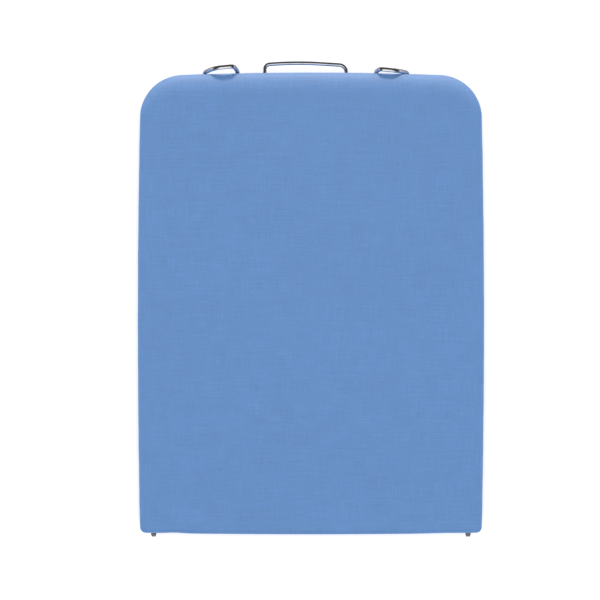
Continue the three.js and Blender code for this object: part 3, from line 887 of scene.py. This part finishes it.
# ---- Expanded-metal decks -----------------------------------------------------------------
def mesh_deck(name, half):
    """Expanded metal: a lattice of diamonds, cut off under the rim's flange."""
    low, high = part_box(f"{half}_mesh_deck")
    depth = high[2] - low[2]
    middle = (low[2] + high[2]) / 2
    columns = int((high[0] - low[0]) / DECK_SHORT_WAY) + 2
    rows = int((high[1] - low[1]) / DECK_LONG_WAY) + 2
    bm = bmesh.new()
    corners = {}

    def place(i, j):
        return i * DECK_SHORT_WAY / 2, FACE_CENTRE_Y + j * DECK_LONG_WAY / 2

    def corner(i, j):
        if (i, j) not in corners:
            corners[i, j] = bm.verts.new((*place(i, j), middle))
        return corners[i, j]

    for i in range(-columns, columns + 1):
        for j in range(-rows, rows + 1):
            if (i + j) % 2:
                continue
            distance, _ = edge_place(*place(i, j))
            if distance > -DECK_BORDER:
                continue
            bm.faces.new((corner(i + 1, j), corner(i, j + 1), corner(i - 1, j), corner(i, j - 1)))
    mesh = bpy.data.meshes.new(name)
    bm.to_mesh(mesh)
    bm.free()
    mesh.materials.append(TRAY_PAINT)
    obj = link_object(name, mesh)
    lattice = obj.modifiers.new("strands", "WIREFRAME")
    lattice.thickness = min(DECK_STRAND, depth * 1.1)
    lattice.use_even_offset = False
    return finish_piece(obj, f"{half}_half", [f"{half}_mesh_deck"])


# ---- Wires --------------------------------------------------------------------------------
def rounded_path(corners, radii):
    """The corner points joined by straight runs, with an arc at each but the first and last."""
    corners = [Vector(c) for c in corners]
    path = [corners[0]]
    for before, here, after, radius in zip(corners, corners[1:], corners[2:], radii[1:]):
        back = (before - here).normalized()
        ahead = (after - here).normalized()
        half = back.angle(ahead) / 2
        reach = radius / math.tan(half)
        centre = here + (back + ahead).normalized() * radius / math.sin(half)
        start = here + back * reach - centre
        turn = start.rotation_difference(here + ahead * reach - centre)
        for step in range(BEND_STEPS + 1):
            path.append(centre + Quaternion(turn.axis, turn.angle * step / BEND_STEPS) @ start)
    path.append(corners[-1])
    return path


def wire(name, corners, radii, radius, body, node):
    """A round wire with slightly rounded cut ends."""
    path = rounded_path(corners, radii)
    curve = bpy.data.curves.new(name, "CURVE")
    curve.dimensions = "3D"
    curve.bevel_depth = radius
    curve.bevel_resolution = 6
    curve.use_fill_caps = True
    curve.twist_mode = "MINIMUM"
    first = (path[0] - path[1]).normalized()
    last = (path[-1] - path[-2]).normalized()
    nose = WIRE_NOSE * radius
    ends = {0: path[0] - first * nose, len(path) - 1: path[-1] - last * nose}
    run = [path[0]] + [ends.get(i, p) for i, p in enumerate(path)] + [path[-1]]
    widths = [WIRE_TIP] + [1.0] * len(path) + [WIRE_TIP]
    spline = curve.splines.new("POLY")
    spline.points.add(len(run) - 1)
    for point, place, width in zip(spline.points, run, widths):
        point.co = (*place, 1)
        point.radius = width
    temporary = link_object(name + "_path", curve)
    bpy.context.view_layer.update()
    evaluated = temporary.evaluated_get(bpy.context.evaluated_depsgraph_get())
    mesh = bpy.data.meshes.new_from_object(evaluated)
    mesh.name = name
    bpy.data.objects.remove(temporary)
    mesh.materials.clear()
    mesh.materials.append(CHROME)
    obj = link_object(name, mesh)
    face_outwards(obj)
    smooth(obj, sharp_from=50)
    return finish_piece(obj, body, [node])


def leg_corners(right, left, shift):
    """One wire's corners, from the right stub round to the left one, moved across by a shift."""
    both = right + [(-x, y, z) for x, y, z in reversed(left)]
    return [(x + shift, y, z) for x, y, z in both]


def lower_leg():
    """A wire with two long hairpins, whose ends are bent up into feet."""
    z = LOWER_PIVOT_Z
    bend_y = LEG_PIVOT_Y - LEG_REACH
    tip_y = bend_y - FOOT_LENGTH * math.cos(LOWER_FOOT_BEND)
    tip_z = z + FOOT_LENGTH * math.sin(LOWER_FOOT_BEND)
    side = [
        (LEG_STUB_X, LEG_PIVOT_Y, z),
        (LEG_OUTER_X, LEG_PIVOT_Y, z),
        (LEG_OUTER_X, bend_y, z),
        (LEG_OUTER_X, tip_y, tip_z),
        (LEG_INNER_X, tip_y, tip_z),
        (LEG_INNER_X, bend_y, z),
        (LEG_INNER_X, LEG_PIVOT_Y, z),
    ]
    bend = LEG_BEND_R
    radii = [0, bend, FOOT_BEND_R, bend, bend, FOOT_BEND_R, bend]
    corners = leg_corners(side, side, 0)
    return wire("lower_leg", corners, radii + radii[::-1], LEG_WIRE_R, "lower_leg", "lower_leg_wire")


def upper_foot(reach, rise, inner_x, outer_x):
    """The foot's arch, from the outer wire over the free end to the inner wire."""
    root = FREE_Y + ARCH_ROOT_OUT + reach * 0.1
    crown = FREE_Y + ARCH_CROWN_OUT + reach
    outer_shoulder, inner_shoulder = ARCH_SHOULDERS
    return [
        (outer_x, root, MID_Z),
        (outer_x - outer_shoulder, crown, MID_Z + rise),
        (inner_x + inner_shoulder, crown + ARCH_CROWN_SLANT, MID_Z + rise - ARCH_CROWN_DROP),
        (inner_x, root + 1 * MM, MID_Z),
        (inner_x, UPPER_KNEE_Y, MID_Z),
        (inner_x, LEG_PIVOT_Y, UPPER_PIVOT_Z),
    ]


def upper_leg():
    """The other leg wire, whose hairpins level out between the hems and end in arched feet."""
    outer = [
        (LEG_STUB_X, LEG_PIVOT_Y, UPPER_PIVOT_Z),
        (LEG_OUTER_X, LEG_PIVOT_Y, UPPER_PIVOT_Z),
        (LEG_OUTER_X, UPPER_KNEE_Y, MID_Z),
    ]
    right = outer + upper_foot(*UPPER_FEET["right"])
    left = outer + upper_foot(*UPPER_FEET["left"])
    corners = leg_corners(right, left, UPPER_LEG_SHIFT)
    bend = LEG_BEND_R
    radii = [0, bend, bend, *ARCH_BENDS_R, bend, bend]
    return wire("upper_leg", corners, radii + radii[::-1], LEG_WIRE_R, "upper_leg", "upper_leg_wire")


def handle():
    """A wide wire bail with a slightly arched bar and its two ends turned outwards."""
    left, right = HANDLE_X
    left_rise, crown, right_rise = HANDLE_BAR_RISE
    corners = [
        (left - HANDLE_END_LENGTH, HANDLE_END_Y, MID_Z),
        (left, HANDLE_END_Y, MID_Z),
        (left, FREE_Y + left_rise, MID_Z),
        (HANDLE_CROWN_X, FREE_Y + crown, MID_Z),
        (right, FREE_Y + right_rise, MID_Z),
        (right, HANDLE_END_Y, MID_Z),
        (right + HANDLE_END_LENGTH, HANDLE_END_Y, MID_Z),
    ]
    left_r, right_r = HANDLE_SHOULDER_R
    radii = [0, HANDLE_END_R, left_r, HANDLE_CROWN_R, right_r, HANDLE_END_R, 0]
    return wire("handle_wire", corners, radii, HANDLE_WIRE_R, "handle", "carrying_handle")


# ---- Rivets -------------------------------------------------------------------------------
def rivet(node, body):
    """A domed head and shank turned from a profile, the same way up as the CAD rivet."""
    low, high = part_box(node)
    centre_x = (low[0] + high[0]) / 2
    centre_y = (low[1] + high[1]) / 2
    flip = node.startswith("upper_")
    head = RIVET_HEAD_R
    shank = RIVET_SHANK_R
    deep = RIVET_HEAD
    height = high[2] - low[2]
    profile = [(0.0, height)]
    for degrees in (15, 30, 45, 60, 75, 90):
        turn = math.radians(degrees)
        profile.append((head * math.sin(turn), height - deep * (1 - math.cos(turn))))
    profile += [(head * 0.98, height - deep * 1.08), (shank, height - deep * 1.1)]
    if height > LONG_RIVET:
        profile += [(shank, deep), (head * 0.95, deep * 0.95), (head, deep * 0.6), (head * 0.8, 0)]
    else:
        profile.append((shank, 0))
    profile.append((0.0, 0.0))
    sides = RIVET_SIDES
    points = []
    rows = []
    for radius, z in profile:
        ring = [len(points)]
        if radius == 0:
            points.append((0, 0, z))
        else:
            ring = list(range(len(points), len(points) + sides))
            for k in range(sides):
                turn = 2 * math.pi * k / sides
                points.append((radius * math.cos(turn), radius * math.sin(turn), z))
        rows.append(ring)
    faces = []
    for upper, lower in zip(rows, rows[1:]):
        for k in range(sides):
            ahead = k + 1
            corners = [
                upper[k % len(upper)], upper[ahead % len(upper)],
                lower[ahead % len(lower)], lower[k % len(lower)],
            ]
            faces.append(list(dict.fromkeys(corners)))
    placed = [
        (x + centre_x, y + centre_y, high[2] - z if flip else low[2] + z) for x, y, z in points
    ]
    obj = mesh_piece(node + "_turned", placed, faces, ZINC)
    face_outwards(obj)
    smooth(obj, sharp_from=40)
    return finish_piece(obj, body, [node])


# ---- CAD nodes that stay ------------------------------------------------------------------
def dress_node(node, material, bevel):
    """Gives a node of the frame its material and softened edges."""
    obj = frame["nodes"][node]
    obj.data.materials.clear()
    obj.data.materials.append(material)
    edge = obj.modifiers.new("soft_edges", "BEVEL")
    edge.width = bevel
    edge.segments = 2
    edge.limit_method = "ANGLE"
    edge.angle_limit = math.radians(50)
    edge.harden_normals = True
    smooth(obj, sharp_from=35)


def dress_cad_nodes():
    for node, obj in frame["nodes"].items():
        if obj.hide_render:
            continue
        if node.endswith(("_rim", "_strap")):
            dress_node(node, TRAY_PAINT, SHEET_BEVEL)
        elif node.startswith("handle_guide"):
            dress_node(node, NYLON, NYLON_BEVEL)
        elif "hinge" in node:
            # the hinge parts get the darker copy of the zinc, which is painted shade
            dress_node(node, SHADED_ZINC, ZINC_BEVEL)
        else:
            dress_node(node, ZINC, ZINC_BEVEL)


# ---- Studio -------------------------------------------------------------------------------
def floor():
    """A white sweep that glows a little, with a painted contact shadow only where something almost
    touches it.
    """
    size = FLOOR_SIZE
    points = [(-size, -size, 0), (size, -size, 0), (size, size, 0), (-size, size, 0)]
    obj = mesh_piece("floor", points, [(0, 1, 2, 3)], floor_paint("floor_paint"))
    obj.location.z = -FLOOR_GAP
    obj.visible_glossy = False


def sun(name, azimuth, elevation, strength, softness):
    """A broad, even light from a direction, left out of mirror reflections."""
    light = bpy.data.lights.new(name, "SUN")
    light.energy = strength
    light.angle = math.radians(softness)
    obj = link_object(name, light)
    a, e = math.radians(azimuth), math.radians(elevation)
    towards = Vector((math.sin(a) * math.cos(e), math.cos(a) * math.cos(e), math.sin(e)))
    obj.rotation_euler = towards.to_track_quat("Z", "Y").to_euler()
    obj.location = towards * SUN_DISTANCE
    obj.visible_glossy = False
    return obj


def gloss_on(obj, pieces):
    """Keeps a light to the sheen of a few pieces."""
    obj.visible_glossy = True
    obj.visible_diffuse = False
    receivers = bpy.data.collections.new("glossed")
    for piece in pieces:
        receivers.objects.link(piece)
    obj.light_linking.receiver_collection = receivers


def world():
    """White behind the board, even on matt surfaces, and a set of softboxes in the chrome."""
    scene_world = bpy.data.worlds.new("studio")
    scene_world.use_nodes = True
    tree = scene_world.node_tree

    def add(kind, *sources):
        node = tree.nodes.new(kind)
        for socket, source in zip(node.inputs, sources):
            tree.links.new(source, socket)
        return node

    def fade(value, low, high, at_low, at_high):
        node = add("ShaderNodeMapRange", value)
        for socket, number in zip(node.inputs[1:5], (low, high, at_low, at_high)):
            socket.default_value = number
        return node.outputs[0]

    def combine(operation, a, b):
        node = add("ShaderNodeMath", a, b)
        node.operation = operation
        return node.outputs[0]

    def background(strength):
        node = tree.nodes.new("ShaderNodeBackground")
        node.inputs["Color"].default_value = (1, 1, 1, 1)
        node.inputs["Strength"].default_value = strength
        return node

    direction = add("ShaderNodeTexCoord").outputs["Generated"]
    towards = add("ShaderNodeVectorMath", direction)
    towards.operation = "DOT_PRODUCT"
    tilt = math.radians(SOFTBOX_TILT)
    towards.inputs[1].default_value = (0, -math.sin(tilt), math.cos(tilt))
    split = add("ShaderNodeSeparateXYZ", direction)
    aside = add("ShaderNodeMath", split.outputs["X"])
    aside.operation = "ABSOLUTE"
    aside = aside.outputs[0]
    inner, outer = (math.cos(math.radians(SOFTBOX_SPREAD) * share) for share in SOFTBOX_EDGE)
    overhead = fade(towards.outputs["Value"], outer, inner, DARK_ROOM, 1.0)
    overhead = combine("MULTIPLY", overhead, fade(aside, *SOFTBOX_WIDTH, 1.0, SOFTBOX_ASIDE))
    sides = fade(aside, *SIDE_PANEL_EDGE, 0.0, SIDE_PANEL)
    below = fade(split.outputs["Z"], *HORIZON, FLOOR_MIRRORED, DARK_ROOM)
    level = combine("MAXIMUM", combine("MAXIMUM", overhead, sides), below)

    mirrored = background(1.0)
    tree.links.new(level, mirrored.inputs["Strength"])
    path = add("ShaderNodeLightPath")
    in_chrome = add(
        "ShaderNodeMixShader",
        path.outputs["Is Glossy Ray"], background(ROOM_LIGHT).outputs[0], mirrored.outputs[0],
    )
    to_camera = add(
        "ShaderNodeMixShader",
        path.outputs["Is Camera Ray"], in_chrome.outputs[0], background(1.0).outputs[0],
    )
    tree.links.new(to_camera.outputs[0], tree.nodes["World Output"].inputs["Surface"])
    bpy.context.scene.world = scene_world


def camera():
    """Looks straight down, with the free end at the top of the picture."""
    data = bpy.data.cameras.new("camera")
    data.sensor_width = SENSOR_WIDTH
    data.lens = SENSOR_WIDTH * CAMERA_DISTANCE / FRAME_WIDTH
    obj = link_object("camera", data)
    obj.location = (*CAMERA_AIM, THICKNESS + CAMERA_DISTANCE)
    obj.rotation_euler = (0, 0, 0)
    bpy.context.scene.camera = obj
    bpy.context.scene.view_settings.view_transform = "Standard"
    bpy.context.scene.view_settings.look = "None"


# ---- Build --------------------------------------------------------------------------------
camera()
floor()
world()
sun("key", *KEY_SUN)
sun("fill", *FILL_SUN)

covers = []
HALVES = [("lower", False, 1.0, 0.0), ("upper", True, 2.0, 0.5 * MM)]
for half, flip, seed, crown in HALVES:
    felt_pad(f"{half}_felt", half, flip)
    covers.append(cover(f"{half}_cover", half, flip, seed, crown))
    elastic(f"{half}_casing", half, flip, seed)
    mesh_deck(f"{half}_deck", half)
gloss_on(sun("gloss", *GLOSS_SUN), covers)

lower_leg()
upper_leg()
handle()

BODY_OF_NODE = {
    node: body
    for body, members in frame["record"]["behaviour"]["bodies"].items()
    for node in members
}
for node in sorted(frame["nodes"]):
    if "rivet" in node:
        rivet(node, BODY_OF_NODE[node])
dress_cad_nodes()
